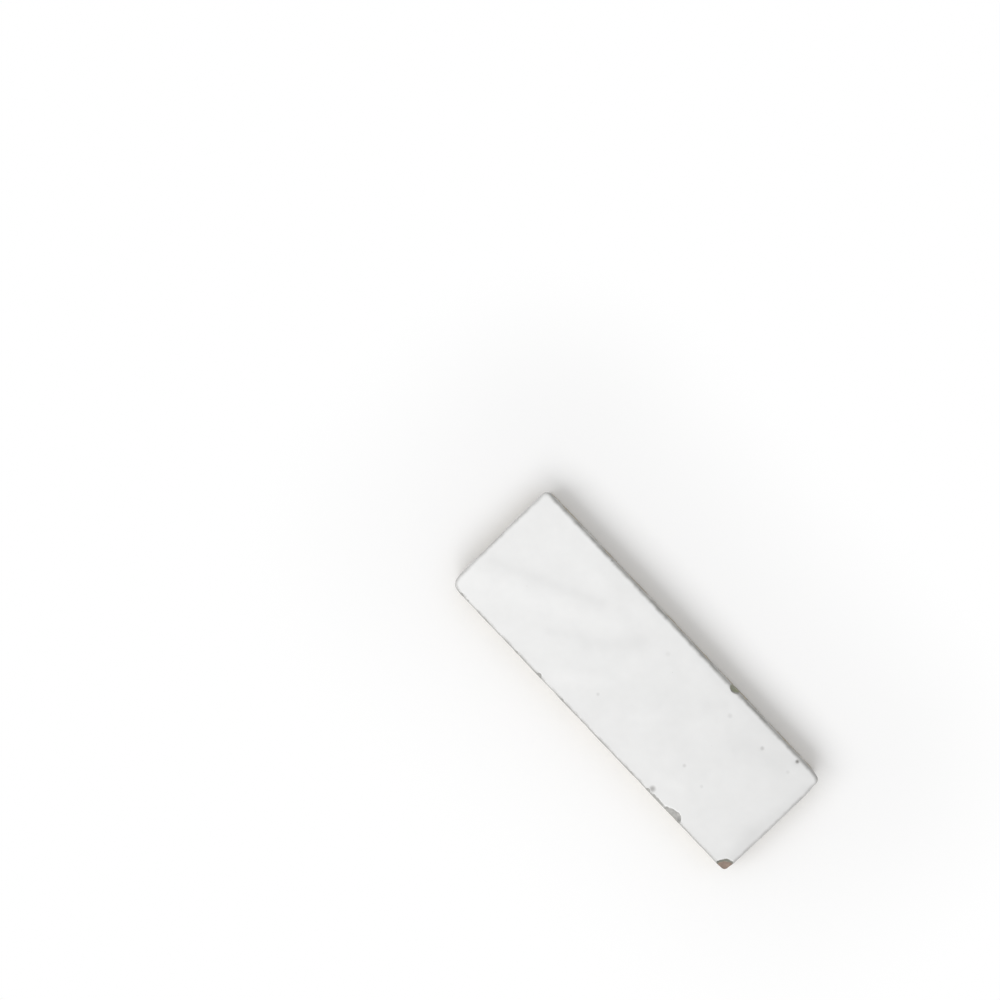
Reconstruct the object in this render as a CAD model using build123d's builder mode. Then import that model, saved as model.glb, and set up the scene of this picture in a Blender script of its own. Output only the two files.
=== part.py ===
from build123d import *
import os
from math import cos, cosh, radians, sin, sqrt, tau

# A zellige tile: one slab of fired clay, cut by hand and glazed on its upper face.
# X runs along the tile, Y across it and Z up from the flat bed face that goes into the mortar.
# The ends at -X and +X are left and right, the sides at -Y and +Y are near and far.
# All sizes are in millimetres, and all angles in degrees.

# The glazed face, measured between the points where its four sides would meet
face_length = 151.4
face_width = 51.1
thickness = 12.0

# How far the hand-cut face is out of square: its near side runs in from left to right,
# and its ends are skewed
width_taper = 0.4
left_end_skew = 0.9
right_end_skew = 0.2

# How far the middle of each side bows out, where a negative bow is hollow
near_bow = 0.05
right_bow = 0.15
far_bow = 0.1
left_bow = 0.1

# How far the foot of each wall stands outside the face, where a negative lean is undercut
near_lean = -0.7
right_lean = -0.9
far_lean = 0.7
left_lean = -0.6

# Rounding of the four upright corners
near_left_radius = 4.5
near_right_radius = 1.5
far_right_radius = 4.2
far_left_radius = 3.0

# Waves of the glazed face: height, length from crest to crest, bearing and phase
waves = (
    (0.20, 92.0, 14.0, 40.0),
    (0.13, 48.0, 118.0, 205.0),
    (0.08, 30.0, 61.0, 310.0),
)

# The glaze rolls down towards the edges of the face
edge_fall = 0.3
edge_fall_width = 5.0

# Easing of the arris, the edge between the glazed face and the walls
arris_radius = 0.8

# Spalls on the arris: distance from the right end, length along the arris,
# reach into the face and drop down the wall
near_spalls = (
    (28.3, 6.1, 2.9, 1.8),
    (30.0, 6.4, 2.6, 1.6),
    (31.4, 5.4, 1.9, 1.3),
    (37.6, 11.0, 1.15, 1.0),
    (42.6, 2.4, 1.2, 0.8),
    (102.5, 2.4, 1.4, 0.9),
)
far_spalls = ((47.9, 5.4, 1.9, 2.4),)

# The spall that took the near right corner: length across the corner, reach and drop
corner_spall = (10.4, 5.2, 3.2)

# Stock above the face that the waves are cut from, and the spacing of the points they are drawn on
wave_stock = 2.0
wave_margin = 4.0
wave_spacing = 4.0

# The middle of the face lies off the middle of the tile's box, since the more skewed end,
# the tapered side and the flared foot of the far wall reach further out
face_middle_x = (left_end_skew - right_end_skew) / 6
face_middle_y = (width_taper / 2 - far_lean) / 2


def corner_points(height):
    """Where the four sides meet at a height, anticlockwise from near left."""
    below = (thickness - height) / thickness
    left = face_middle_x - face_length / 2 - left_lean * below
    right = face_middle_x + face_length / 2 + right_lean * below
    near = face_middle_y - face_width / 2 - near_lean * below
    far = face_middle_y + face_width / 2 + far_lean * below
    return (
        Vector(left + left_end_skew / 2, near - width_taper / 2),
        Vector(right + right_end_skew / 2, near + width_taper / 2),
        Vector(right - right_end_skew / 2, far),
        Vector(left - left_end_skew / 2, far),
    )


def outline_at(height):
    """The tile's outline at a height: four bowed or straight sides with rounded corners."""
    points = corner_points(height)
    outward = (Vector(0, -1), Vector(1, 0), Vector(0, 1), Vector(-1, 0))
    bows = (near_bow, right_bow, far_bow, left_bow)
    radii = (near_left_radius, near_right_radius, far_right_radius, far_left_radius)
    with BuildSketch(Plane.XY.offset(height)) as outline:
        with BuildLine():
            for start, end, away, bow in zip(points, points[1:] + points[:1], outward, bows):
                if bow:
                    ThreePointArc(start, (start + end) / 2 + away * bow, end)
                else:
                    Line(start, end)
        make_face()
        for point, radius in zip(points, radii):
            at_height = point + Vector(0, 0, height)
            fillet(outline.vertices().sort_by_distance(at_height)[0], radius)
    return outline.sketch


def glaze_height(x, y):
    """Height of the glazed face: its level, its waves and its fall towards the edges."""
    lengthways = x - face_middle_x
    across = y - face_middle_y
    height = thickness
    for rise, crest_to_crest, bearing, phase in waves:
        along = lengthways * cos(radians(bearing)) + across * sin(radians(bearing))
        height += rise * cos(tau * along / crest_to_crest + radians(phase))
    end_fall = cosh(lengthways / edge_fall_width) / cosh(face_length / 2 / edge_fall_width)
    side_fall = cosh(across / edge_fall_width) / cosh(face_width / 2 / edge_fall_width)
    return height - edge_fall * (end_fall + side_fall)


def spread(half):
    """Evenly spaced stations that cover a half size and the margin past it, both ways."""
    reach = half + wave_margin
    count = round(2 * reach / wave_spacing)
    return [reach * (2 * step / count - 1) for step in range(count + 1)]


def spall(x, y, bearing, length, reach, drop):
    """Takes a ball-shaped flake off the arris at a point, broken away along a bearing.

    The ball passes through both ends of the broken length, the point as far into the face
    as the reach and the point as far down the wall as the drop.
    """
    half = length / 2
    out = (half**2 - reach**2) / (2 * reach)
    up = (half**2 - drop**2) / (2 * drop)
    centre_x = x + out * cos(radians(bearing))
    centre_y = y + out * sin(radians(bearing))
    with Locations((centre_x, centre_y, glaze_height(x, y) + up)):
        Sphere(sqrt(half**2 + out**2 + up**2), mode=Mode.SUBTRACT)


glazed_face = Face.make_surface_from_array_of_points(
    [
        [Vector(x, y, glaze_height(x, y)) for y in spread(face_width / 2 + abs(far_lean))]
        for x in spread(face_length / 2)
    ]
)

with BuildPart() as tile:
    loft([outline_at(0), outline_at(thickness + wave_stock)])
    split(bisect_by=glazed_face, keep=Keep.BOTTOM)
    fillet(tile.faces().sort_by(Axis.Z)[-1].edges(), arris_radius)
    right_x = face_middle_x + face_length / 2
    far_y = face_middle_y + face_width / 2
    for from_right, length, reach, drop in near_spalls:
        spall_x = right_x - from_right
        taper = width_taper * (spall_x - face_middle_x) / face_length
        spall(spall_x, face_middle_y - face_width / 2 + taper, -90, length, reach, drop)
    for from_right, length, reach, drop in far_spalls:
        spall(right_x - from_right, far_y, 90, length, reach, drop)
    broken_corner = corner_points(thickness)[1]
    spall(broken_corner.X, broken_corner.Y, -45, *corner_spall)

tile.part.label = "zellige_tile"
os.makedirs("parts", exist_ok=True)
export_step(tile.part, "parts/zellige_tile.step")
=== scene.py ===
"""A zellige tile: one hand-cut slab of fired clay with a white glazed face, on a plain studio stage.

The tile is one closed skin. A grid covers the glazed face, rings carry the section of the arris and
the wall round the outline, and a coarser grid closes the bed face underneath. The shape is worked out
in millimetres, in the frame of the solid model, and written to the mesh in metres.
"""

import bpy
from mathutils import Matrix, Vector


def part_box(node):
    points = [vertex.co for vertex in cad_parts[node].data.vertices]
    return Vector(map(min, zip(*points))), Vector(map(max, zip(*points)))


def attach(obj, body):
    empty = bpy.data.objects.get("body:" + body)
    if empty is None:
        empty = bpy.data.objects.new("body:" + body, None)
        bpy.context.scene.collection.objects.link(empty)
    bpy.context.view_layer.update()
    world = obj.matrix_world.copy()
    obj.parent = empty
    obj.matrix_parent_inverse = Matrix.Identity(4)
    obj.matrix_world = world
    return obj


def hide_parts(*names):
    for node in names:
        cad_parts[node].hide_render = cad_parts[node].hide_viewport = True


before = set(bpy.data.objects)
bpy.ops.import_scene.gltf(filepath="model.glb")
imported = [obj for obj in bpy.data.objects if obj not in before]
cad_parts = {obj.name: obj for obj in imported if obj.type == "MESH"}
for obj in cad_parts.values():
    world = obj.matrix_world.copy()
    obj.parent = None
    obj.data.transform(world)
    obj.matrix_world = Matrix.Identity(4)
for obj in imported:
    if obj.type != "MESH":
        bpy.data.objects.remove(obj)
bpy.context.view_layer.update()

from types import SimpleNamespace

import bpy
import numpy as np
from bpy.props import FloatProperty, FloatVectorProperty, PointerProperty
from mathutils import Vector

bl_info = {
    "name": "Zellige tile",
    "version": (1, 0, 0),
    "blender": (4, 5, 0),
    "location": "View3D > Sidebar > Zellige",
    "description": "Dresses the solid of a hand-cut glazed clay tile and sets it on a studio stage",
    "category": "Add Mesh",
}

MM = 0.001
TILE_NODE = "zellige_tile"
TILE_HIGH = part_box(TILE_NODE)[1]

# The hand-cut outline, in millimetres: how far the near side runs in from left to right, the skews of
# the ends, the bows of the four sides, the leans of the four walls and the roundings of the four corners.
# The right end and the far side fall away towards the corner where they meet, each over a run of its
# own, and the skin lies a little inside the solid. Sides run near, right, far, left, and corners run
# near left, near right, far right, far left.
WIDTH_TAPER = 0.4
LEFT_END_SKEW = 0.9
RIGHT_END_SKEW = 0.2
SIDE_BOWS = (0.05, 0.15, 0.1, 0.1)
WALL_LEANS = (-0.7, -0.9, 0.7, -0.6)
CORNER_RADII = (4.5, 1.5, 2.2, 3.0)
RIGHT_END_FALL = 0.5
RIGHT_END_RUN = 8.0
FAR_SIDE_FALL = 0.6
FAR_SIDE_RUN = 6.0
SKIN_ROOM = 0.03
FACE_MIDDLE = np.array(((LEFT_END_SKEW - RIGHT_END_SKEW) / 6, (WIDTH_TAPER / 2 - WALL_LEANS[2]) / 2))

# The glazed face: waves as height, crest to crest, bearing and phase, then its fall at the edges
# and the room that fine ripples need under the solid's face
WAVES = (
    (0.20, 92.0, 14.0, 40.0),
    (0.13, 48.0, 118.0, 205.0),
    (0.08, 30.0, 61.0, 310.0),
)
EDGE_FALL = 0.3
EDGE_FALL_WIDTH = 5.0
RIPPLE_ROOM = 0.08

# What differs between the sides, near, right, far, left: shares of the arris radius and of the glaze's reach
# down the wall, how dark the arris is drawn and how far down the wall that dark reaches; it is rubbed glaze
# and, strongest and deepest on the far side, painted shade
ARRIS_SHARES = (1.0, 1.25, 1.4, 1.2)
LAP_SHARES = (1.0, 1.3, 2.0, 1.2)
WEAR_AND_SHADE_SHARES = (0.80, 0.55, 0.85, 0.50)
WEAR_AND_SHADE_DEPTHS = (1.2, 1.2, 3.0, 1.2)

# Spalls: distance from the right end, length along the arris, reach into the face, drop down the wall,
# and stain, from grey at 0 over olive to brown at 1
NEAR_SPALLS = (
    (28.3, 6.1, 2.9, 1.8, 0.1),
    (30.0, 6.4, 2.6, 1.6, 0.1),
    (31.4, 5.4, 1.9, 1.3, 0.1),
    (37.6, 11.0, 1.15, 1.0, 0.1),
    (42.6, 2.4, 1.2, 0.8, 0.4),
    (102.5, 2.4, 1.4, 0.9, 0.2),
    (145.0, 2.0, 1.0, 0.6, 0.2),
    (141.6, 1.6, 0.9, 0.5, 0.2),
    (131.6, 5.0, 0.7, 0.6, 0.2),
    (114.8, 1.8, 0.9, 0.6, 0.2),
    (89.9, 1.8, 1.0, 0.5, 0.2),
    (51.9, 2.0, 0.9, 0.6, 0.2),
)
FAR_SPALLS = (
    (47.9, 5.4, 1.9, 2.4, 0.42),
    (115.1, 2.2, 0.9, 0.8, 0.2),
    (99.9, 2.2, 0.9, 0.8, 0.2),
)
CORNER_SPALL = (10.4, 5.2, 3.2, 1.0)

# Pits of the glaze, measured from the middle of the face: place, radius and depth
FACE_PITS = (
    (64.0, 23.5, 1.15, 0.33),
    (33.8, -23.4, 1.8, 0.18),
    (51.2, 17.3, 1.2, 0.09),
    (35.7, -8.6, 1.1, 0.06),
    (-6.4, -13.8, 1.0, 0.05),
    (33.9, 16.9, 1.4, 0.04),
    (64.4, 18.1, 1.1, 0.03),
    (45.9, -9.3, 1.0, 0.03),
    (0.7, 15.9, 1.4, 0.015),
)

# The glaze's tone, measured from the middle of the face: a painted shade that darkens it along the tile
# towards the right end, and streaks of painted shade (share below 0) and painted highlight (share above 0):
# both ends, half width and share of tone
LENGTH_SHADE = 0.08
HIGHLIGHT_AND_SHADE_STREAKS = (
    (-70.7, -8.4, -30.7, 10.6, 2.6, -0.040),
    (-36.7, -11.4, -26.2, -3.4, 2.0, -0.030),
    (-22.7, -3.9, -9.2, 11.1, 3.2, -0.040),
    (42.3, 11.1, 59.3, 18.1, 5.0, -0.040),
    (25.3, 13.1, 29.3, 18.1, 2.5, -0.025),
    (69.3, -10.9, 73.8, 4.1, 3.5, -0.030),
    (74.5, -19.5, 74.5, 18.5, 3.0, -0.060),
    (74.0, -19.5, 72.5, -7.5, 3.5, -0.045),
    (8.3, 23.9, 70.3, 23.9, 2.2, -0.030),
    (-44.7, -24.4, 68.3, -24.0, 2.0, -0.020),
    (2.3, -0.9, 15.3, 7.1, 4.0, -0.012),
    (-72.7, -18.9, -20.7, 7.6, 3.5, 0.025),
    (-60.7, 13.1, -35.7, 15.1, 5.0, 0.025),
    (-20.7, 18.6, -8.7, 20.1, 3.0, 0.025),
    (-21.7, -20.9, -8.7, -9.9, 2.6, 0.025),
    (32.3, -18.9, 40.8, -15.4, 2.4, 0.030),
    (8.3, -10.9, 16.3, -1.9, 1.8, 0.015),
)

# Marks at random places: nicks round the arris and hammer scallops of the walls, with the scallops' depth
# and the space they are strewn in, which is flattened so that they stretch upright
NICKS = 46
SCALLOPS = 170
SCALLOP_DEPTH = 0.3
SCALLOP_SPACE = (1, 1, 0.6)

# Grit in the clay, and the glaze's index of refraction
DARK_GRIT = (0.19, 0.14, 0.10, 1)
PALE_GRIT = (0.68, 0.61, 0.50, 1)
GLAZE_IOR = 1.5

# Steps of the skin: along and across the face, over the face's border, the arris, the wall and the foot
ALONG = 380
ACROSS = 124
BORDER_STEPS = 12
ARRIS_STEPS = 6
WALL_STEPS = 24
FOOT_STEPS = 3
FACE_BORDER = 5.0
BED_BORDER = 3.0

# The photograph's frame: where the middle of the face lies in it, its scale and the turn of the tile
PHOTO_SIDE = 1000
FACE_PIXEL = (636.13, 681.49)
PIXELS_PER_MM = 2.644
TILE_TURN = 46.59

# The stage: the floor in metres, but for its drop below the bed face in millimetres, with its lift in tone
# and the distances over which it fades to white, then the key light's place and size
FLOOR_HALF = 3.0
FLOOR_DROP = 0.1
FLOOR_LIFT = 0.02
FLOOR_FADE = (0.015, 0.09)
KEY_BEARING = (0.12, -0.99)
KEY_ELEVATION = 48.0
KEY_DISTANCE = 1.3
KEY_WIDTH = 1.9
KEY_DEPTH = 0.8


def lengths_of(group):
    """A settings group's lengths under their own names, in millimetres."""
    return SimpleNamespace(**{name: getattr(group, name) / MM for name in group.__annotations__})


def smooth_step(low, high, value):
    """Rises from 0 at low to 1 at high along the cubic 3t^2 - 2t^3."""
    t = np.clip((value - low) / (high - low), 0, 1)
    return t * t * (3 - 2 * t)


def cosine_noise(points, wavelength, seed, waves=24):
    """Smooth noise of unit spread: cosine waves of random bearing and phase, added up.

    The waves' lengths lie from 0.7 to 1.4 times the one given.
    """
    rng = np.random.default_rng(seed)
    bearings = rng.normal(size=(waves, 3))
    bearings /= np.linalg.norm(bearings, axis=1, keepdims=True)
    pitches = 2 * np.pi / (wavelength * rng.uniform(0.7, 1.4, waves))
    phases = rng.uniform(0, 2 * np.pi, waves)
    return np.cos(points @ (bearings * pitches[:, None]).T + phases).sum(axis=1) / np.sqrt(waves / 2)


def corner_points(size, height):
    """Where the four sides meet at a height: the face's corners, each moved by its two walls' leans."""
    below = (size.thickness - height) / size.thickness
    near, right, far, left = (lean * below for lean in WALL_LEANS)
    half_length = size.face_length / 2
    half_width = size.face_width / 2
    return np.array(
        [
            (-half_length - left + LEFT_END_SKEW / 2, -half_width - near - WIDTH_TAPER / 2),
            (half_length + right + RIGHT_END_SKEW / 2, -half_width - near + WIDTH_TAPER / 2),
            (half_length + right - RIGHT_END_SKEW / 2, half_width + far),
            (-half_length - left - LEFT_END_SKEW / 2, half_width + far),
        ]
    )


def outline(size, height, along, across):
    """Stations round the tile at a height and the way out at each, anticlockwise from near left.

    A side runs from the middle of one corner's rounding to the middle of the next: half a turn of
    the first corner, a straight, and half a turn of the next. The stations share its length evenly.
    """
    corners = corner_points(size, height)
    ahead = np.roll(corners, -1, axis=0) - corners
    runs = np.linalg.norm(ahead, axis=1)
    ahead /= runs[:, None]
    inward = np.stack([-ahead[:, 1], ahead[:, 0]], axis=1)
    headings = np.arctan2(ahead[:, 1], ahead[:, 0])
    half_turns = ((headings - np.roll(headings, 1)) % (2 * np.pi)) / 2
    radii = np.array(CORNER_RADII)
    tangents = radii * np.tan(half_turns)
    stations, ways_out = [], []
    for side, steps in enumerate((along, across, along, across)):
        last = (side + 1) % 4
        first_arc = radii[side] * half_turns[side]
        straight = runs[side] - tangents[side] - tangents[last]
        total = first_arc + straight + radii[last] * half_turns[last]
        gone = np.linspace(0, total, steps, endpoint=False)
        before = np.minimum(gone - first_arc, 0) / radii[side]
        after = np.maximum(gone - first_arc - straight, 0) / radii[last]
        heading = headings[side] + before + after
        out = np.stack([np.sin(heading), -np.cos(heading)], axis=1)
        along_line = tangents[side] + np.clip(gone - first_arc, 0, straight)
        on_line = corners[side] + ahead[side] * along_line[:, None]
        bend = np.where(before < 0, radii[side], radii[last])[:, None]
        stations.append(on_line + bend * (inward[side] + out))
        ways_out.append(out)
    return np.concatenate(stations), np.concatenate(ways_out)


def inset_corners(size, height, inset):
    """The four corners at a height, each moved in from both of its sides."""
    corners = corner_points(size, height)
    ahead = np.roll(corners, -1, axis=0) - corners
    ahead /= np.linalg.norm(ahead, axis=1, keepdims=True)
    return corners + inset * (ahead - np.roll(ahead, 1, axis=0))


def four_corner_grid(corners, along, across):
    """A grid between four corners: each point is their mean, weighted by its shares of both ways."""
    u, v = np.meshgrid(np.linspace(0, 1, along + 1), np.linspace(0, 1, across + 1), indexing="ij")
    weights = np.stack([(1 - u) * (1 - v), u * (1 - v), u * v, (1 - u) * v], axis=-1)
    return (weights @ corners).reshape(-1, 2)


def grid_rim(along, across):
    """Positions of a grid's rim in its flat list of points, anticlockwise from the first corner."""
    numbers = np.arange((along + 1) * (across + 1)).reshape(along + 1, across + 1)
    return np.concatenate([numbers[:-1, 0], numbers[-1, :-1], numbers[:0:-1, -1], numbers[0, :0:-1]])


def bowed(points, size):
    """Points with the sides' bows and the fall of the far right corner.

    A side moves out by its bow times a parabola along it, fading inwards. The right end and the far side
    move in by their falls, which grow in a straight line along their runs and fade inwards as a power.
    """
    x, y = points[:, 0], points[:, 1]
    end = 2 * x / size.face_length
    side = 2 * y / size.face_width
    near, right, far, left = SIDE_BOWS
    out_x = end * np.where(x > 0, right, left) * (1 - side**2)
    out_y = side * np.where(y > 0, far, near) * (1 - end**2)
    end_fall = RIGHT_END_FALL * np.maximum(1 - (size.face_width / 2 - y) / RIGHT_END_RUN, 0)
    side_fall = FAR_SIDE_FALL * np.maximum(1 - (size.face_length / 2 - x) / FAR_SIDE_RUN, 0)
    out_x -= end_fall * np.maximum(end, 0) ** 9
    out_y -= side_fall * np.maximum(side, 0) ** 3
    return np.stack([x + out_x, y + out_y], axis=1)


def glaze_height(size, points):
    """Height of the glazed face: its level plus its waves, less a fall shaped like a hanging chain."""
    x, y = points[:, 0], points[:, 1]
    height = np.full(len(points), size.thickness - RIPPLE_ROOM)
    for rise, crest_to_crest, bearing, phase in WAVES:
        run = x * np.cos(np.radians(bearing)) + y * np.sin(np.radians(bearing))
        height += rise * np.cos(2 * np.pi * run / crest_to_crest + np.radians(phase))
    end_fall = np.cosh(x / EDGE_FALL_WIDTH) / np.cosh(size.face_length / 2 / EDGE_FALL_WIDTH)
    side_fall = np.cosh(y / EDGE_FALL_WIDTH) / np.cosh(size.face_width / 2 / EDGE_FALL_WIDTH)
    return height - EDGE_FALL * (end_fall + side_fall)


def round_sides(shares, out):
    """A share for each point from those of the four sides: their mean, weighted by the squares of the
    point's way out along the sides' own ways out."""
    x, y = out[:, 0], out[:, 1]
    facing = np.stack([np.minimum(y, 0), np.maximum(x, 0), np.maximum(y, 0), np.minimum(x, 0)], axis=1)
    return facing**2 @ np.array(shares)


def band(upper, lower):
    """Quads between two closed rings of point numbers, facing out."""
    return np.stack([upper, lower, np.roll(lower, -1), np.roll(upper, -1)], axis=1)


def halving_band(upper, lower):
    """Triangles between a closed ring and one with half as many points, three for each lower step."""
    first, middle, last = upper[::2], upper[1::2], np.roll(upper, -2)[::2]
    after = np.roll(lower, -1)
    return np.concatenate(
        [
            np.stack([first, lower, middle], axis=1),
            np.stack([middle, lower, after], axis=1),
            np.stack([middle, after, last], axis=1),
        ]
    )


def grid_quads(along, across):
    """Quads of a grid, facing up."""
    numbers = np.arange((along + 1) * (across + 1)).reshape(along + 1, across + 1)
    corners = numbers[:-1, :-1], numbers[1:, :-1], numbers[1:, 1:], numbers[:-1, 1:]
    return np.stack([c.ravel() for c in corners], axis=1)


def plain_skin(size):
    """The tile before its wear: points, quads, triangles, and at each point the way out, its level part,
    the drop below the face, the distance along the section from the arris and the share of bed face.

    The section that is carried round the outline is a border of the face, a quarter turn over the arris,
    a wall whose rings lie closer together near the glaze, and a quarter turn under the foot. The arris
    tightens to half its radius in the middle of a corner, with the sum of the way out's fourth powers,
    and takes no more than half of a corner's rounding.
    """
    face = bowed(four_corner_grid(inset_corners(size, size.thickness, FACE_BORDER), ALONG, ACROSS), size)
    face_rim = grid_rim(ALONG, ACROSS)
    bed_counts = ALONG // 4, ACROSS // 4
    bed = bowed(four_corner_grid(inset_corners(size, 0, BED_BORDER), *bed_counts), size)
    edge, out = outline(size, size.thickness, ALONG, ACROSS)
    edge = bowed(edge, size) - out * SKIN_ROOM
    foot = bowed(outline(size, 0, ALONG, ACROSS)[0], size) - out * SKIN_ROOM
    radius = size.arris_radius * round_sides(ARRIS_SHARES, out) * (out**4).sum(axis=1)
    from_corner = np.linalg.norm(edge[:, None] - corner_points(size, size.thickness), axis=2)
    rounding = np.array(CORNER_RADII)
    room = rounding / 2 + size.arris_radius * smooth_step(rounding, rounding + 3.5, from_corner)
    radius = np.minimum(radius, room.min(axis=1))
    arris = edge - out * radius[:, None]
    top = glaze_height(size, arris)
    up = np.tile((0.0, 0.0, 1.0), (len(edge), 1))
    level_out = np.column_stack([out, np.zeros(len(out))])
    blocks = []

    def block(xy, z, way, level_way, drop, past, bed_share=0.0):
        count = len(xy)
        blocks.append(
            (
                np.column_stack([xy, np.broadcast_to(z, count)]),
                np.broadcast_to(way, (count, 3)),
                np.broadcast_to(level_way, (count, 2)),
                np.broadcast_to(drop, count),
                np.broadcast_to(past, count),
                np.broadcast_to(bed_share, count),
            )
        )

    def wall_ring(inset, drop, way, past):
        level = 1 - drop / size.thickness
        xy = foot + (edge - foot) * level[:, None] - out * np.reshape(inset, (-1, 1))
        block(xy, top * level, way, out, drop, past)

    block(face, glaze_height(size, face), up[0], (0, 0), 0.0, -FACE_BORDER)
    eighth_turn = radius * np.pi / 4
    for share in np.linspace(0, 1, BORDER_STEPS + 1)[1:]:
        xy = face[face_rim] * (1 - share) + arris * share
        past = (radius - FACE_BORDER) * (1 - share) - eighth_turn
        block(xy, glaze_height(size, xy), up, out, 0.0, past)
    for turn in np.radians(np.linspace(0, 90, ARRIS_STEPS + 1)[1:]):
        way = up * np.cos(turn) + level_out * np.sin(turn)
        wall_ring(radius * (1 - np.sin(turn)), radius * (1 - np.cos(turn)), way, radius * turn - eighth_turn)
    for share in np.linspace(0, 1, WALL_STEPS + 1)[1:]:
        down = (size.thickness - radius - size.foot_radius) * (0.7 * share + 0.3 * share**2)
        wall_ring(0.0, radius + down, level_out, eighth_turn + down)
    half = slice(None, None, 2)
    for turn in np.radians(np.linspace(0, 90, FOOT_STEPS + 1)[1:]):
        inset = size.foot_radius * (1 - np.cos(turn))
        height = size.foot_radius * (1 - np.sin(turn))
        way = level_out[half] * np.cos(turn) - up[half] * np.sin(turn)
        block((foot - out * inset)[half], height, way, out[half], size.thickness - height, size.thickness)
    block(bed, 0.0, -up[0], (0, 0), size.thickness, 2 * size.thickness, 1.0)

    starts = np.cumsum([0] + [len(part[0]) for part in blocks])
    rings = [face_rim] + [np.arange(a, b) for a, b in zip(starts[1:-2], starts[2:-1])]
    rings.append(starts[-2] + grid_rim(*bed_counts))
    quads = [grid_quads(ALONG, ACROSS), starts[-2] + grid_quads(*bed_counts)[:, ::-1]]
    triangles = []
    for upper, lower in zip(rings, rings[1:]):
        if len(upper) == len(lower):
            quads.append(band(upper, lower))
        else:
            triangles.append(halving_band(upper, lower))
    points, way, level_way, drop, past, bed_share = (np.concatenate(parts) for parts in zip(*blocks))
    points[:, :2] += FACE_MIDDLE
    return SimpleNamespace(
        points=points, way=way, level_way=level_way, drop=drop, past=past, bed=bed_share,
        quads=np.concatenate(quads), triangles=np.concatenate(triangles),
        edge=np.column_stack([edge + FACE_MIDDLE, top]), edge_out=out,
    )


def ripple_face(size, skin):
    """Fine relief and tone of the glazed face: ripples, a painted shade along the tile, streaks of painted
    shade and painted highlight that fade across as a bell curve does, and pits as bell-shaped dips."""
    on_face = smooth_step(-1.0, -2.5, skin.past) * (1 - skin.bed)
    level = skin.points * (1, 1, 0)
    ripple = 0.025 * cosine_noise(level, 14.0, 3) + 0.008 * cosine_noise(level, 5.0, 4)
    skin.points[:, 2] += on_face * ripple
    middle = skin.points[:, :2] - FACE_MIDDLE
    # painted shade: the tone falls along the tile towards its right end
    skin.pool = 1 - LENGTH_SHADE * middle[:, 0] / size.face_length
    skin.pool += 0.003 * cosine_noise(level, 11.0, 5) + 0.002 * cosine_noise(level, 4.0, 6)
    # streaks of painted shade and painted highlight
    for x1, y1, x2, y2, half_width, tone in HIGHLIGHT_AND_SHADE_STREAKS:
        start, stroke = np.array((x1, y1)), np.array((x2 - x1, y2 - y1))
        share = np.clip((middle - start) @ stroke / (stroke @ stroke), 0, 1)
        away = np.linalg.norm(middle - start - share[:, None] * stroke, axis=1)
        skin.pool += tone * np.exp(-((away / half_width) ** 2))
    for x, y, radius, depth in FACE_PITS:
        away = np.linalg.norm(middle - (x, y), axis=1)
        skin.points[:, 2] -= depth * np.exp(-((away / radius) ** 2)) * (1 - skin.bed) * (skin.drop < 1)


def scallops(points, seeds):
    """Hammer scallops: 1 at a seed, falling as the square of the distance to the nearest one, to 0 at
    the largest distance."""
    squares = (points**2).sum(axis=1)[:, None] - 2 * points @ seeds.T + (seeds**2).sum(axis=1)
    nearest = squares.min(axis=1)
    return 1 - nearest / nearest.max()


def roughen_walls(size, skin, balls):
    """Clay walls behind the glaze: the clay lies back and is rough with hammer scallops, and the glaze
    laps over the arris to an uneven reach and ends in a bead. The relief fades towards the foot and
    towards the balls that break the arris."""
    level = skin.points * (1, 1, 0)
    lap = size.glaze_reach * round_sides(LAP_SHARES, skin.level_way)
    reach = lap * (1 + 0.4 * cosine_noise(level, 16.0, 11) + 0.16 * cosine_noise(level, 5.0, 12))
    runs = 0.8 * lap * smooth_step(0.8, 2.0, cosine_noise(level, 9.0, 13))
    skin.cover = np.maximum(reach, 0.55 * lap) + runs - skin.past
    glazed = smooth_step(-0.1, 0.35, skin.cover)
    bead = 0.10 * np.exp(-(((skin.cover - 0.45) / 0.35) ** 2)) * smooth_step(0.2, 1.0, skin.past)
    wall = (skin.past > 0) & (skin.bed == 0)
    rng = np.random.default_rng(20)
    seeds = skin.points[rng.choice(np.flatnonzero(wall), SCALLOPS, replace=False)] * SCALLOP_SPACE
    layers = skin.points * (0.08, 0.08, 1)
    rough = 0.07 * cosine_noise(skin.points, 7.0, 21) + 0.05 * cosine_noise(skin.points, 2.6, 22)
    rough += 0.03 * cosine_noise(layers, 2.4, 23) + 0.03 * cosine_noise(skin.points, 1.2, 24)
    rough[wall] += SCALLOP_DEPTH * (scallops(skin.points[wall] * SCALLOP_SPACE, seeds) - 0.6)
    back = 0.6 * size.glaze_thickness + rough
    push = np.minimum(bead - 0.1 - np.maximum(back, 0.02) * (1 - glazed), 0) * (1 - skin.bed)
    clear = np.full(len(skin.points), np.inf)
    for centre, radius, *_ in balls:
        clear = np.minimum(clear, np.linalg.norm(skin.points - centre, axis=1) - radius)
    push *= smooth_step(0.1, 1.2, clear) * (0.65 + 0.35 * smooth_step(0.3, 2.0, skin.points[:, 2]))
    skin.points += skin.way * push[:, None] * smooth_step(0.0, 0.6, skin.past)[:, None]


def flake_ball(x, y, z, way, length, reach, drop):
    """The ball that takes a flake off the arris at a point, broken away along a way: its centre and radius,
    the way into the tile, half back and half down, and the height of the face there.

    The ball passes through both ends of the length, the reach into the face and the drop down the wall.
    """
    half = length / 2
    out = (half**2 - reach**2) / (2 * reach)
    up = (half**2 - drop**2) / (2 * drop)
    centre = np.array((x + out * way[0], y + out * way[1], z + up))
    into = np.array((-way[0], -way[1], -1)) / np.sqrt(2)
    return centre, np.sqrt(half**2 + out**2 + up**2), into, z


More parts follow.
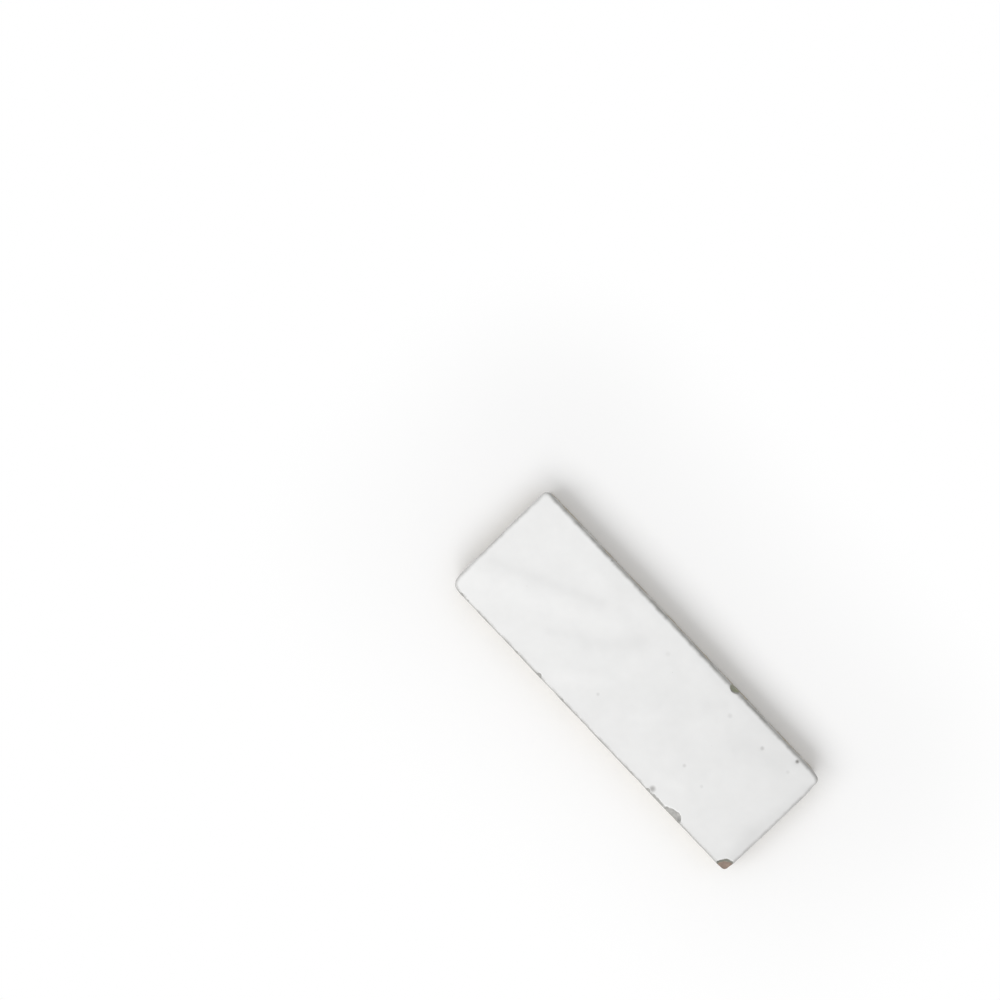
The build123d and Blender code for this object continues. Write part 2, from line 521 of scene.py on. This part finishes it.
def flake_balls(size, skin):
    """Every ball that breaks the arris, with the raggedness of its rim and its stain: the spalls, then
    small nicks at random stations round the outline."""
    half_length, half_width = size.face_length / 2, size.face_width / 2
    places = []
    for from_right, *spall in NEAR_SPALLS:
        x = half_length - from_right
        places.append((FACE_MIDDLE + (x, WIDTH_TAPER * x / size.face_length - half_width), (0, -1), *spall))
    for from_right, *spall in FAR_SPALLS:
        places.append((FACE_MIDDLE + (half_length - from_right, half_width), (0, 1), *spall))
    corner = corner_points(size, size.thickness)[1] + FACE_MIDDLE
    places.append((corner, np.array((1, -1)) / np.sqrt(2), *CORNER_SPALL))
    heights = glaze_height(size, np.array([place[0] for place in places]) - FACE_MIDDLE)
    balls = [
        (*flake_ball(*xy, z, way, length, reach, drop), 0.02 * length**0.5, stain)
        for (xy, way, length, reach, drop, stain), z in zip(places, heights)
    ]
    rng = np.random.default_rng(31)
    for station in rng.choice(len(skin.edge), NICKS, replace=False):
        length = rng.uniform(0.7, 1.7)
        flake = length, length * rng.uniform(0.16, 0.32), length * rng.uniform(0.25, 0.45)
        balls.append((*flake_ball(*skin.edge[station], skin.edge_out[station], *flake), 0.02, 0.2))
    return balls


def break_arris(size, skin, balls):
    """Takes the flakes off: a point inside a ball moves into the tile as far as the ball's uneven rim.

    The rim is the ball's radius plus noise at the place on the ball, and the way there is the positive
    root of the line's quadratic with the ball. The glaze's cover shrinks with the depth inside the rim,
    and the stain grows with the depth below the face.
    """
    skin.spall = np.full(len(skin.points), -1.0)
    skin.stain = np.zeros(len(skin.points))
    for centre, radius, into, top, rag, stain in balls:
        distance = np.linalg.norm(skin.points - centre, axis=1)
        close = np.flatnonzero((distance < radius + 4 * rag) & (skin.bed == 0))
        away = skin.points[close] - centre
        run = away @ into
        square = run**2 - (away**2).sum(axis=1)
        way_through = np.sqrt(np.maximum(square + radius**2, 0)) - run
        on_ball = skin.points[close] + way_through[:, None] * into
        rim = radius + rag * (cosine_noise(on_ball, 2.6, 41) + 0.5 * cosine_noise(on_ball, 1.1, 42))
        depth = rim - distance[close]
        way_through = np.sqrt(np.maximum(square + rim**2, 0)) - run
        skin.points[close] += np.where(depth > 0, way_through, 0)[:, None] * into
        skin.cover[close] = np.minimum(skin.cover[close], size.glaze_thickness - depth)
        skin.spall[close] = np.maximum(skin.spall[close], depth)
        stained = stain * (0.45 + 0.55 * smooth_step(0.6, 1.8, top - skin.points[close, 2]))
        skin.stain[close] = np.maximum(skin.stain[close], np.where(depth > -0.1, stained, 0))


def score_bed(skin):
    """Relief of the bed face: long drag marks and shallow hollows, never below the bed's level."""
    level = skin.points * (1, 1, 0)
    drag = cosine_noise(level * (0.06, 1, 1), 3.2, 51)
    hollow = cosine_noise(level, 18.0, 52)
    relief = 0.10 * np.maximum(drag, 0) + 0.14 * np.maximum(hollow - 0.3, 0)
    skin.points[:, 2] += relief * skin.bed
    skin.points[:, 2] = np.maximum(skin.points[:, 2], 0)


def write_mesh(name, skin):
    """A smooth-shaded mesh of the skin in metres, with the finish's channels as point attributes."""
    mesh = bpy.data.meshes.new(name)
    counts = np.concatenate([np.full(len(skin.quads), 4), np.full(len(skin.triangles), 3)])
    corners = np.concatenate([skin.quads.ravel(), skin.triangles.ravel()])
    mesh.vertices.add(len(skin.points))
    mesh.vertices.foreach_set("co", (skin.points * MM).astype(np.float32).ravel())
    mesh.loops.add(len(corners))
    mesh.loops.foreach_set("vertex_index", corners.astype(np.int32))
    mesh.polygons.add(len(counts))
    mesh.polygons.foreach_set("loop_start", np.concatenate([[0], np.cumsum(counts)[:-1]]).astype(np.int32))
    mesh.update(calc_edges=True)
    mesh.shade_smooth()
    arris = round_sides(ARRIS_SHARES, skin.level_way)
    # the arris is drawn darker by rubbed glaze and by painted shade, most on the far side
    wear = round_sides(WEAR_AND_SHADE_SHARES, skin.level_way)
    rubbed = skin.past / np.maximum(round_sides(WEAR_AND_SHADE_DEPTHS, skin.level_way), 0.1)
    channels = {
        "glaze_cover": np.clip(skin.cover, -2, 1.5),
        "spall_depth": np.clip(skin.spall, -1, 3),
        "spall_stain": skin.stain,
        "past_arris": np.clip(skin.past / np.where(arris > 0, arris, 1), -6, 14),
        "glaze_tone_and_shade": skin.pool,
        "arris_wear_and_shade": wear * smooth_step(1.0, 0.4, rubbed),
    }
    for channel, values in channels.items():
        mesh.attributes.new(channel, "FLOAT", "POINT").data.foreach_set("value", values.astype(np.float32))
    return mesh


class NodeBench:
    """Adds shader nodes to one material and wires them as they are made."""

    def __init__(self, tree):
        self.tree = tree
        self.tree.nodes.clear()

    def add(self, kind, inputs=(), **settings):
        """A node with its settings made and its inputs set to values or linked to outputs."""
        node = self.tree.nodes.new(kind)
        for setting, value in settings.items():
            setattr(node, setting, value)
        for socket, value in dict(inputs).items():
            if isinstance(value, bpy.types.NodeSocket):
                self.tree.links.new(value, node.inputs[socket])
            else:
                node.inputs[socket].default_value = value
        return node

    def maths(self, operation, a, b=0.0):
        """A number worked out from one or two numbers."""
        return self.add("ShaderNodeMath", {0: a, 1: b}, operation=operation).outputs[0]

    def vector(self, operation, a, b):
        """A vector worked out from two vectors."""
        return self.add("ShaderNodeVectorMath", {0: a, 1: b}, operation=operation).outputs["Vector"]

    def scaled(self, colour, factor):
        """A colour times a factor."""
        node = self.add("ShaderNodeVectorMath", {0: colour, "Scale": factor}, operation="SCALE")
        return node.outputs["Vector"]

    def blend(self, factor, a, b):
        """A colour between two, by a factor."""
        node = self.add("ShaderNodeMix", {0: factor, 6: a, 7: b}, data_type="RGBA")
        return node.outputs[2]

    def mean(self, factor, a, b):
        """A number between two, by a factor."""
        return self.add("ShaderNodeMix", {0: factor, 2: a, 3: b}).outputs[0]

    def ramp(self, value, low, high, start=0.0, end=1.0):
        """A number that goes smoothly from start to end as a value goes from low to high."""
        inputs = {"Value": value, "From Min": low, "From Max": high, "To Min": start, "To Max": end}
        node = self.add("ShaderNodeMapRange", inputs, interpolation_type="SMOOTHSTEP")
        return node.outputs["Result"]

    def noise(self, place, grain, detail=2.0, roughness=0.5):
        """Noise with features of about a size in metres, from 0 to 1."""
        inputs = {"Vector": place, "Scale": 1 / grain, "Detail": detail, "Roughness": roughness}
        return self.add("ShaderNodeTexNoise", inputs).outputs["Fac"]

    def cells(self, place, grain):
        """Distance to the nearest of scattered points about a size apart, as a share of that size."""
        return self.add("ShaderNodeTexVoronoi", {"Vector": place, "Scale": 1 / grain}).outputs["Distance"]

    def channel(self, name):
        """A channel of the mesh's points, by its name."""
        return self.add("ShaderNodeAttribute", attribute_name=name).outputs["Fac"]


def opaque(colour):
    """A colour with full cover."""
    return (*colour, 1.0)


def glaze_tone(bench, place, finish):
    """Colour of the glaze: white and clouded, with the tone channel's painted shade along the tile and its
    streaks of painted shade and highlight, and greyer where it thins at the arris, a grey that is also
    painted shade, most on the far side.
    """
    cloud = bench.noise(place, 0.016, 3.0)
    fleck = bench.noise(place, 0.004, 2.0)
    # the tone channel carries painted shade and painted highlight as well as clouding
    tone = bench.maths("MULTIPLY", bench.channel("glaze_tone_and_shade"), bench.ramp(cloud, 0.25, 0.75, 0.99, 1.01))
    tone = bench.maths("MULTIPLY", tone, bench.ramp(fleck, 0.2, 0.8, 0.994, 1.006))
    white = bench.scaled(tuple(finish.glaze_colour), tone)
    uneven = bench.ramp(bench.noise(place, 0.003, 3.0), 0.3, 0.7, -0.15, 0.15)
    past = bench.maths("ADD", bench.channel("past_arris"), uneven)
    kept = bench.ramp(bench.noise(place, 0.007, 1.0), 0.45, 0.66, 1.0, 0.8)
    # darkening of the arris: rubbed glaze, and painted shade most on the far side's shoulder
    wear = bench.maths("MULTIPLY", bench.channel("arris_wear_and_shade"), kept)
    worn_and_shaded = bench.maths("MULTIPLY", bench.ramp(past, -1.25, 0.05), wear)
    return bench.blend(worn_and_shaded, white, opaque(finish.worn_and_shaded_colour))


def with_specks(bench, place, colour, finish):
    """The glaze's colour with a dark speck in each measured pit and a few scattered pinholes."""
    level = bench.vector("MULTIPLY", place, (1, 1, 0))
    for x, y, radius, depth in FACE_PITS:
        centre = ((x + FACE_MIDDLE[0]) * MM, (y + FACE_MIDDLE[1]) * MM, 0)
        node = bench.add("ShaderNodeVectorMath", {0: level, 1: centre}, operation="DISTANCE")
        strength = min(0.95, 0.04 + 3.2 * depth)
        spot = bench.ramp(node.outputs["Value"], radius * MM, 0.1 * radius * MM, 0.0, strength)
        colour = bench.blend(spot, colour, opaque(finish.speck_colour))
    pinhole = bench.ramp(bench.cells(place, 0.0065), 0.035, 0.015)
    chosen = bench.ramp(bench.noise(place, 0.011, 1.0), 0.56, 0.62)
    spot = bench.maths("MULTIPLY", bench.maths("MULTIPLY", pinhole, chosen), 0.4)
    return bench.blend(spot, colour, opaque(finish.speck_colour))


def clay_tone(bench, place, finish):
    """Colour of the fired clay: mottled tan with dark and pale grit on the walls, and in the spalls grey,
    olive or brown by their stain, with painted shade just inside the rims of stained spalls."""
    mottle = bench.noise(place, 0.007, 4.0, 0.6)
    tan = bench.scaled(tuple(finish.clay_colour), bench.ramp(mottle, 0.25, 0.75, 0.80, 1.12))
    patch = bench.ramp(bench.noise(place, 0.0016, 3.0), 0.3, 0.7, -0.12, 0.12)
    stain = bench.maths("ADD", bench.channel("spall_stain"), patch)
    grey, olive = opaque(finish.grey_spall_colour), opaque(finish.olive_spall_colour)
    broken = bench.blend(bench.ramp(stain, 0.1, 0.5), grey, olive)
    broken = bench.blend(bench.ramp(stain, 0.5, 0.9), broken, opaque(finish.brown_spall_colour))
    broken = bench.scaled(broken, bench.ramp(bench.noise(place, 0.0022, 3.0), 0.3, 0.7, 0.82, 1.12))
    even_stain = bench.channel("spall_stain")
    # painted shade: a dark band just inside the rims of the stained spalls
    rim = bench.maths("MULTIPLY", bench.ramp(even_stain, 0.42, 0.46), bench.ramp(even_stain, 0.95, 0.6))
    broken = bench.blend(rim, broken, opaque(finish.rim_shade_colour))
    fresh = bench.ramp(bench.channel("spall_depth"), -0.1, 0.05)
    colour = bench.blend(fresh, tan, broken)
    streak = bench.noise(bench.vector("MULTIPLY", place, (0.06, 0.06, 1.0)), 0.0012, 3.0)
    colour = bench.scaled(colour, bench.ramp(streak, 0.3, 0.7, 0.93, 1.05))
    grit = bench.mean(fresh, 0.4, 0.12)
    strewn = bench.ramp(bench.noise(place, 0.0035, 2.0), 0.42, 0.68, 0.03, 0.3)
    dark_grit = bench.ramp(bench.cells(place, 0.0014), strewn, 0.02)
    shifted = bench.vector("ADD", place, (0.031, 0.017, 0.011))
    sparse = bench.ramp(bench.noise(shifted, 0.005, 2.0), 0.45, 0.7, 0.03, 0.32)
    pale_grit = bench.ramp(bench.cells(shifted, 0.0024), sparse, 0.02)
    colour = bench.blend(bench.maths("MULTIPLY", dark_grit, grit), colour, DARK_GRIT)
    return bench.blend(bench.maths("MULTIPLY", pale_grit, grit), colour, PALE_GRIT)


def tile_material(finish):
    """Tin glaze over fired clay: the cover channel, frayed by noise, parts glossy glaze from clay."""
    material = bpy.data.materials.new("white_glaze_on_clay")
    material.use_nodes = True
    bench = NodeBench(material.node_tree)
    place = bench.add("ShaderNodeTexCoord").outputs["Object"]
    fray = bench.ramp(bench.noise(place, 0.0012, 3.0), 0.25, 0.75, -0.08, 0.08)
    cover = bench.maths("ADD", bench.channel("glaze_cover"), fray)
    glazed = bench.ramp(cover, -0.05, 0.05)
    dense = bench.ramp(cover, 0.0, 0.55)
    glaze = with_specks(bench, place, glaze_tone(bench, place, finish), finish)
    glaze = bench.blend(dense, opaque(finish.thin_colour), glaze)
    clay = clay_tone(bench, place, finish)
    colour = bench.blend(glazed, clay, glaze)
    smear = bench.noise(place, 0.006, 2.0)
    gloss = bench.ramp(smear, 0.3, 0.7, finish.glaze_roughness * 0.8, finish.glaze_roughness * 1.3)
    roughness = bench.mean(glazed, finish.clay_roughness, gloss)
    grain = bench.maths("MULTIPLY", bench.noise(place, 0.0006, 4.0, 0.65), 0.16)
    moved = bench.vector("ADD", place, (0.013, 0.029, 0.007))
    pores = bench.ramp(bench.cells(moved, 0.0012), 0.05, 0.3, -0.06, 0.0)
    clay_relief = bench.maths("ADD", grain, pores)
    glaze_relief = bench.maths("MULTIPLY", bench.noise(place, 0.0035, 1.5), 0.012)
    relief = bench.mean(glazed, clay_relief, glaze_relief)
    bump = bench.add("ShaderNodeBump", {"Height": relief, "Distance": MM, "Strength": 1.0})
    inputs = {
        "Base Color": colour,
        "Roughness": roughness,
        "Normal": bump.outputs["Normal"],
        "IOR": GLAZE_IOR,
    }
    shader = bench.add("ShaderNodeBsdfPrincipled", inputs)
    bench.add("ShaderNodeOutputMaterial", {"Surface": shader.outputs[0]})
    return material


class TileShape(bpy.types.PropertyGroup):
    """Sizes of the tile."""

    face_length: FloatProperty(
        name="Face length", description="Length of the glazed face between the ends' meeting points",
        default=0.1514, min=0.05, max=0.4, unit="LENGTH", precision=4)
    face_width: FloatProperty(
        name="Face width", description="Width of the glazed face between the sides' meeting points",
        default=0.0511, min=0.03, max=0.4, unit="LENGTH", precision=4)
    thickness: FloatProperty(
        name="Thickness", description="Height of the glazed face's level above the bed face",
        default=0.012, min=0.006, max=0.03, unit="LENGTH", precision=4)
    arris_radius: FloatProperty(
        name="Arris radius", description="Easing of the edge between face and walls",
        default=0.0012, min=0.0002, max=0.002, unit="LENGTH", precision=5)
    foot_radius: FloatProperty(
        name="Foot radius", description="Wear of the edge between walls and bed face",
        default=0.0006, min=0.0002, max=0.0015, unit="LENGTH", precision=5)
    glaze_thickness: FloatProperty(
        name="Glaze thickness", description="Thickness of the glaze on the clay",
        default=0.00035, min=0.0001, max=0.001, unit="LENGTH", precision=5)
    glaze_reach: FloatProperty(
        name="Glaze reach", description="How far the glaze laps down the walls from the arris",
        default=0.0009, min=0.0, max=0.008, unit="LENGTH", precision=5)


class TileFinish(bpy.types.PropertyGroup):
    """Colours and gloss of the tile."""

    glaze_colour: FloatVectorProperty(
        name="Glaze", description="Colour of the tin glaze where it is full",
        default=(0.81, 0.81, 0.805), subtype="COLOR", min=0, max=1)
    thin_colour: FloatVectorProperty(
        name="Thin glaze", description="Colour of the glaze where clay shows through it",
        default=(0.355, 0.352, 0.335), subtype="COLOR", min=0, max=1)
    # rubbed glaze at the arris, also used as painted shade on the far side's shoulder
    worn_and_shaded_colour: FloatVectorProperty(
        name="Worn arris", description="Colour of the glaze's rubbed edge round the face",
        default=(0.23, 0.225, 0.21), subtype="COLOR", min=0, max=1)
    clay_colour: FloatVectorProperty(
        name="Clay", description="Colour of the fired clay on the walls and the bed face",
        default=(0.44, 0.395, 0.32), subtype="COLOR", min=0, max=1)
    grey_spall_colour: FloatVectorProperty(
        name="Grey spalls", description="Colour of the clay in unstained spalls",
        default=(0.395, 0.39, 0.375), subtype="COLOR", min=0, max=1)
    olive_spall_colour: FloatVectorProperty(
        name="Olive spalls", description="Colour of the clay in half-stained spalls",
        default=(0.36, 0.375, 0.275), subtype="COLOR", min=0, max=1)
    brown_spall_colour: FloatVectorProperty(
        name="Brown spalls", description="Colour of the clay in the cores of stained spalls",
        default=(0.265, 0.20, 0.163), subtype="COLOR", min=0, max=1)
    # painted shade just inside the rims of stained spalls
    rim_shade_colour: FloatVectorProperty(
        name="Spall rims", description="Colour of the clay just inside the rims of stained spalls",
        default=(0.19, 0.19, 0.165), subtype="COLOR", min=0, max=1)
    speck_colour: FloatVectorProperty(
        name="Specks", description="Colour of the pits and pinholes in the glaze",
        default=(0.22, 0.21, 0.20), subtype="COLOR", min=0, max=1)
    glaze_roughness: FloatProperty(
        name="Glaze roughness", description="Mean roughness of the glaze",
        default=0.13, min=0.0, max=1.0, subtype="FACTOR")
    clay_roughness: FloatProperty(
        name="Clay roughness", description="Roughness of the bare clay",
        default=0.9, min=0.0, max=1.0, subtype="FACTOR")


class StageSettings(bpy.types.PropertyGroup):
    """Floor, light and camera."""

    floor_colour: FloatVectorProperty(
        name="Floor", description="Colour of the floor", default=(0.93, 0.93, 0.93),
        subtype="COLOR", min=0, max=1)
    sky_strength: FloatProperty(
        name="Sky", description="Strength of the even light from all round", default=0.66, min=0, max=2)
    key_power: FloatProperty(
        name="Key light", description="Power of the soft key light",
        default=11.0, min=0, max=100, unit="POWER")
    camera_height: FloatProperty(
        name="Camera height", description="Height of the camera above the glazed face",
        default=1.1, min=0.3, max=5, unit="LENGTH")


def shown_rays(bench):
    """1 for rays that show the background: from the camera, by a mirror or through glass."""
    path = bench.add("ShaderNodeLightPath").outputs
    mirrored = bench.maths("MAXIMUM", path["Is Glossy Ray"], path["Is Transmission Ray"])
    return bench.maths("MAXIMUM", path["Is Camera Ray"], mirrored)


def floor_material(stage):
    """A white floor that keeps the shadow near the tile and fades to pure white further off."""
    material = bpy.data.materials.new("studio_floor")
    material.use_nodes = True
    bench = NodeBench(material.node_tree)
    shown = shown_rays(bench)
    place = bench.add("ShaderNodeTexCoord").outputs["Object"]
    beyond = bench.vector("SUBTRACT", bench.vector("ABSOLUTE", place, (0, 0, 0)), tuple(TILE_HIGH))
    beyond = bench.vector("MAXIMUM", beyond, (0, 0, 0))
    away = bench.add("ShaderNodeVectorMath", {0: beyond}, operation="LENGTH").outputs["Value"]
    far_off = bench.maths("MULTIPLY", bench.ramp(away, *FLOOR_FADE), shown)
    matt = bench.add("ShaderNodeBsdfDiffuse", {"Color": opaque(stage.floor_colour)}).outputs[0]
    raised = bench.maths("MULTIPLY", shown, FLOOR_LIFT)
    lift = bench.add("ShaderNodeEmission", {"Strength": raised}).outputs[0]
    near = bench.add("ShaderNodeAddShader", {0: matt, 1: lift}).outputs[0]
    white = bench.add("ShaderNodeEmission", {"Strength": 1.0}).outputs[0]
    mixed = bench.add("ShaderNodeMixShader", {0: far_off, 1: near, 2: white}).outputs[0]
    bench.add("ShaderNodeOutputMaterial", {"Surface": mixed})
    return material


def light_world(scene, stage):
    """Even light from all round, seen as plain white."""
    world = bpy.data.worlds.new("studio_sky")
    scene.world = world
    world.use_nodes = True
    bench = NodeBench(world.node_tree)
    strength = bench.mean(shown_rays(bench), stage.sky_strength, 1.0)
    sky = bench.add("ShaderNodeBackground", {"Color": (1, 1, 1, 1), "Strength": strength})
    bench.add("ShaderNodeOutputWorld", {"Surface": sky.outputs[0]})


def place_floor(stage):
    """A square floor just under the bed face."""
    mesh = bpy.data.meshes.new("floor")
    far, low = FLOOR_HALF, -FLOOR_DROP * MM
    corners = [(-far, -far, low), (far, -far, low), (far, far, low), (-far, far, low)]
    mesh.from_pydata(corners, [], [(0, 1, 2, 3)])
    mesh.materials.append(floor_material(stage))
    floor = bpy.data.objects.new("floor", mesh)
    bpy.context.scene.collection.objects.link(floor)


def place_key(stage):
    """A broad soft light that looks at the tile from the near side."""
    light = bpy.data.lights.new("key", "AREA")
    light.energy = stage.key_power
    light.shape = "RECTANGLE"
    light.size = KEY_WIDTH
    light.size_y = KEY_DEPTH
    level = np.cos(np.radians(KEY_ELEVATION))
    way = Vector((KEY_BEARING[0] * level, KEY_BEARING[1] * level, np.sin(np.radians(KEY_ELEVATION))))
    key = bpy.data.objects.new("key", light)
    key.location = way * KEY_DISTANCE
    key.rotation_euler = way.to_track_quat("Z", "Y").to_euler()
    bpy.context.scene.collection.objects.link(key)


def place_camera(scene, stage):
    """A camera that looks straight down, with the face in its frame as it lies in the photograph."""
    turn = np.radians(TILE_TURN)
    right = np.array((np.cos(turn), np.sin(turn)))
    up = np.array((-np.sin(turn), np.cos(turn)))
    across, down = (np.array(FACE_PIXEL) - PHOTO_SIDE / 2) / PIXELS_PER_MM
    middle = FACE_MIDDLE - across * right + down * up
    level = TILE_HIGH.z - WAVES[0][0] * MM
    data = bpy.data.cameras.new("camera")
    data.sensor_width = 36.0
    data.lens = data.sensor_width * stage.camera_height / (PHOTO_SIDE / PIXELS_PER_MM * MM)
    camera = bpy.data.objects.new("camera", data)
    camera.location = (*(middle * MM), level + stage.camera_height)
    camera.rotation_euler = (0, 0, turn)
    scene.collection.objects.link(camera)
    scene.camera = camera


class ZELLIGE_OT_build_tile(bpy.types.Operator):
    """Build the tile's skin, with its glaze, clay and chips, in place of the solid"""

    bl_idname = "zellige.build_tile"
    bl_label = "Build tile"

    def execute(self, context):
        size = lengths_of(context.scene.zellige_shape)
        skin = plain_skin(size)
        ripple_face(size, skin)
        balls = flake_balls(size, skin)
        roughen_walls(size, skin, balls)
        break_arris(size, skin, balls)
        score_bed(skin)
        mesh = write_mesh("glazed_tile", skin)
        mesh.materials.append(tile_material(context.scene.zellige_finish))
        tile = bpy.data.objects.new("glazed_tile", mesh)
        context.scene.collection.objects.link(tile)
        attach(tile, "root")
        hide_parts(TILE_NODE)
        return {"FINISHED"}


class ZELLIGE_OT_build_stage(bpy.types.Operator):
    """Set up the floor, the soft light and the camera"""

    bl_idname = "zellige.build_stage"
    bl_label = "Build stage"

    def execute(self, context):
        stage = context.scene.zellige_stage
        place_floor(stage)
        light_world(context.scene, stage)
        place_key(stage)
        place_camera(context.scene, stage)
        context.scene.view_settings.view_transform = "Standard"
        return {"FINISHED"}


class ZELLIGE_PT_tile(bpy.types.Panel):
    """The tile's settings and its two builders"""

    bl_idname = "ZELLIGE_PT_tile"
    bl_label = "Zellige tile"
    bl_space_type = "VIEW_3D"
    bl_region_type = "UI"
    bl_category = "Zellige"

    def draw(self, context):
        scene = context.scene
        for group in (scene.zellige_shape, scene.zellige_finish, scene.zellige_stage):
            column = self.layout.column(align=True)
            for name in group.__annotations__:
                column.prop(group, name)
        self.layout.operator(ZELLIGE_OT_build_tile.bl_idname)
        self.layout.operator(ZELLIGE_OT_build_stage.bl_idname)


GROUPS = {"zellige_shape": TileShape, "zellige_finish": TileFinish, "zellige_stage": StageSettings}
CLASSES = (*GROUPS.values(), ZELLIGE_OT_build_tile, ZELLIGE_OT_build_stage, ZELLIGE_PT_tile)


def register():
    """Adds the classes and the scene's settings."""
    for cls in CLASSES:
        bpy.utils.register_class(cls)
    for name, group in GROUPS.items():
        setattr(bpy.types.Scene, name, PointerProperty(type=group))


def unregister():
    """Takes the scene's settings and the classes away again."""
    for name in GROUPS:
        delattr(bpy.types.Scene, name)
    for cls in reversed(CLASSES):
        bpy.utils.unregister_class(cls)


def main():
    """Builds the tile and the stage."""
    register()
    bpy.ops.zellige.build_tile()
    bpy.ops.zellige.build_stage()


if __name__ == "__main__":
    main()
